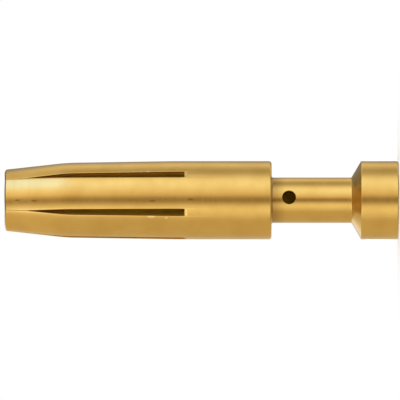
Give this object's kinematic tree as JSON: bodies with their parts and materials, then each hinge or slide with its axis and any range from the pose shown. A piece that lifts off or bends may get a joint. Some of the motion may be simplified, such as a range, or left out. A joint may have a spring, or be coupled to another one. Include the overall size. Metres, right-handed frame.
{
  "type": "crimp socket contact",
  "caption": "Turned, gold-plated crimp socket contact: a slotted spring socket for a round pin, a waisted crimp neck with an inspection hole, and a wire collar.",
  "frame": {"origin": "centre of the wire collar's end face, on which the contact stands", "axes": "+Z along the contact's axis towards the tine tips; the inspection hole faces -Y"},
  "size_m": [0.0044, 0.0044, 0.0221],
  "materials": {
    "gold_plate": "satin gold plate over turned copper alloy"
  },
  "bodies": {
    "root": {"socket_contact": "gold_plate"}
  },
  "joints": []
}
